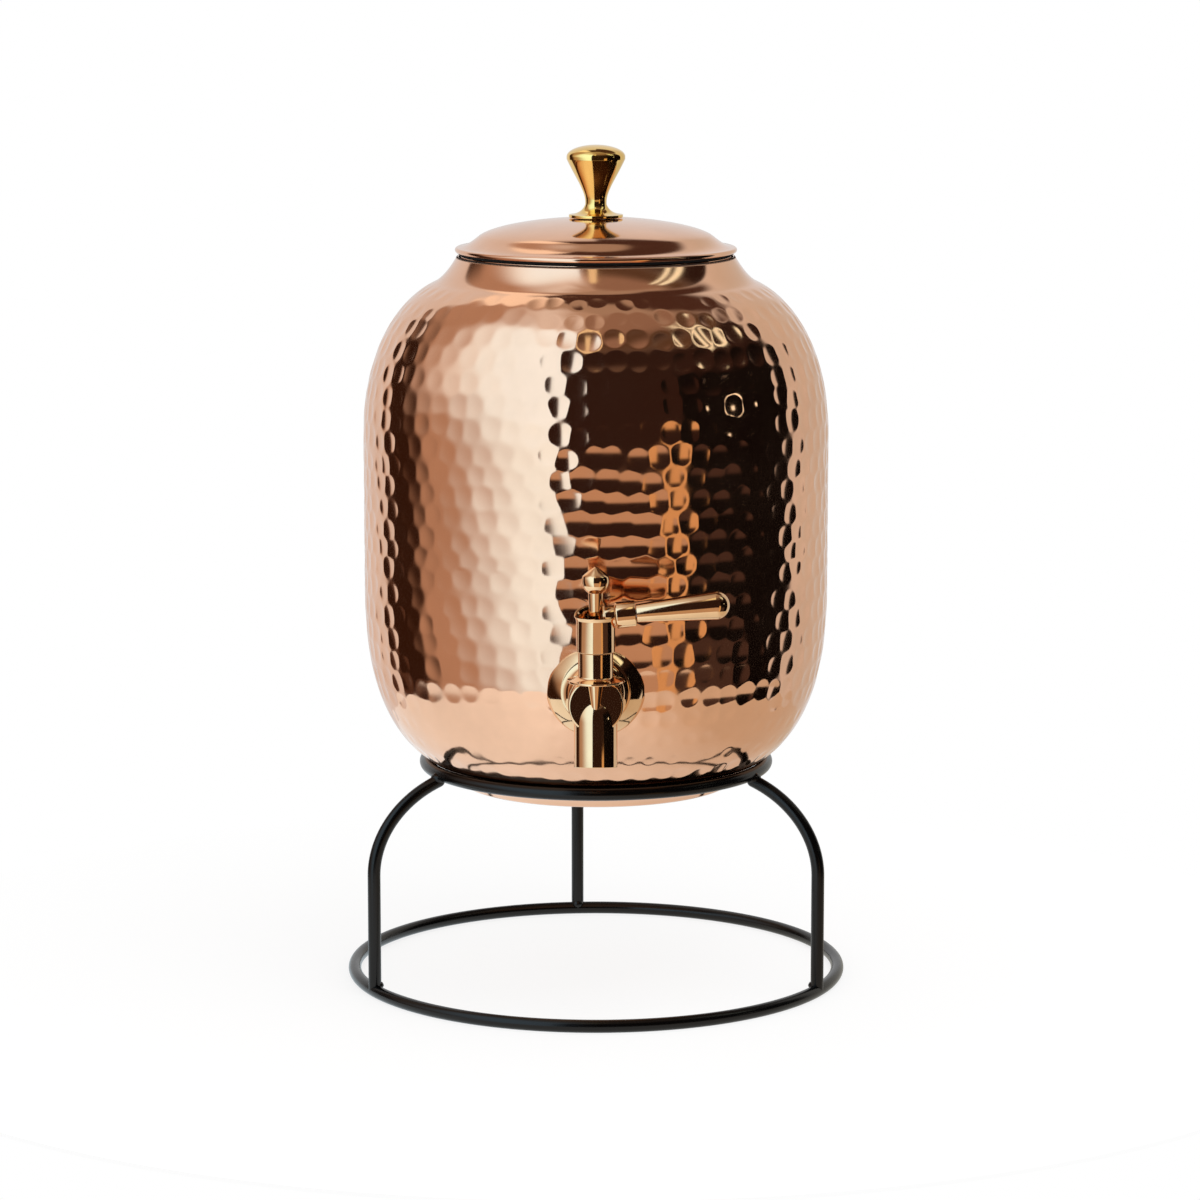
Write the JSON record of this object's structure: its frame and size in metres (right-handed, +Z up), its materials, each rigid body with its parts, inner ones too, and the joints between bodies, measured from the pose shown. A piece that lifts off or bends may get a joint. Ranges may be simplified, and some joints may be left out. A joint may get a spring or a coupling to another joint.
{
  "type": "copper water dispenser",
  "caption": "Hammered copper water tank with a domed lid, brass knob and lever tap, lifting out of a black wire stand.",
  "frame": {"origin": "on the floor, under the middle of the whole outline", "axes": "+Z up, -Y towards the front where the tap is, +X to the right seen from the front"},
  "size_m": [0.2756, 0.3186, 0.4584],
  "materials": {
    "hammered_copper": "hammered and polished copper",
    "polished_copper": "smooth polished copper",
    "gold_brass": "polished gold coloured brass",
    "plain_brass": "machined brass",
    "black_steel": "satin black coated steel rod",
    "zinc_steel": "zinc plated steel",
    "dark_rubber": "moulded rubber",
    "white_plastic": "smooth low-friction plastic"
  },
  "bodies": {
    "stand": {"stand_base_ring": "black_steel", "stand_top_ring": "black_steel", "stand_leg_left": "black_steel", "stand_leg_right": "black_steel", "stand_leg_back": "black_steel"},
    "tank": {"tank_base": "hammered_copper", "tank_shell": "hammered_copper", "tank_neck": "hammered_copper", "tap_body": "polished_copper", "tap_escutcheon": "polished_copper", "tap_outer_gasket": "dark_rubber", "tap_inner_gasket": "dark_rubber", "tap_inner_washer": "zinc_steel", "tap_shank_nut": "plain_brass", "tap_gland_ring": "plain_brass", "tap_glide_washer": "white_plastic"},
    "tap_handle": {"tap_plug": "plain_brass", "tap_plug_seal_upper": "dark_rubber", "tap_plug_seal_lower": "dark_rubber", "tap_hub": "polished_copper", "tap_finial": "polished_copper", "tap_lever_stud": "zinc_steel", "tap_lever_collar": "polished_copper", "tap_lever_handle": "polished_copper"},
    "lid": {"lid_cover": "polished_copper", "lid_locating_ring": "polished_copper", "lid_knob": "gold_brass", "lid_knob_screw": "zinc_steel", "lid_knob_washer": "zinc_steel"}
  },
  "joints": [
    {"name": "tank_lift", "type": "slide", "parent": "stand", "child": "tank", "axis": [0, 0, 1], "range_m": [0, 0.12]},
    {"name": "tap_turn", "type": "hinge", "parent": "tank", "child": "tap_handle", "pos_m": [0, -0.14286, 0.2], "axis": [0, 0, 1], "range_deg": [-90, 0]},
    {"name": "lid_lift", "type": "slide", "parent": "tank", "child": "lid", "axis": [0, 0, 1], "range_m": [0, 0.1]}
  ]
}
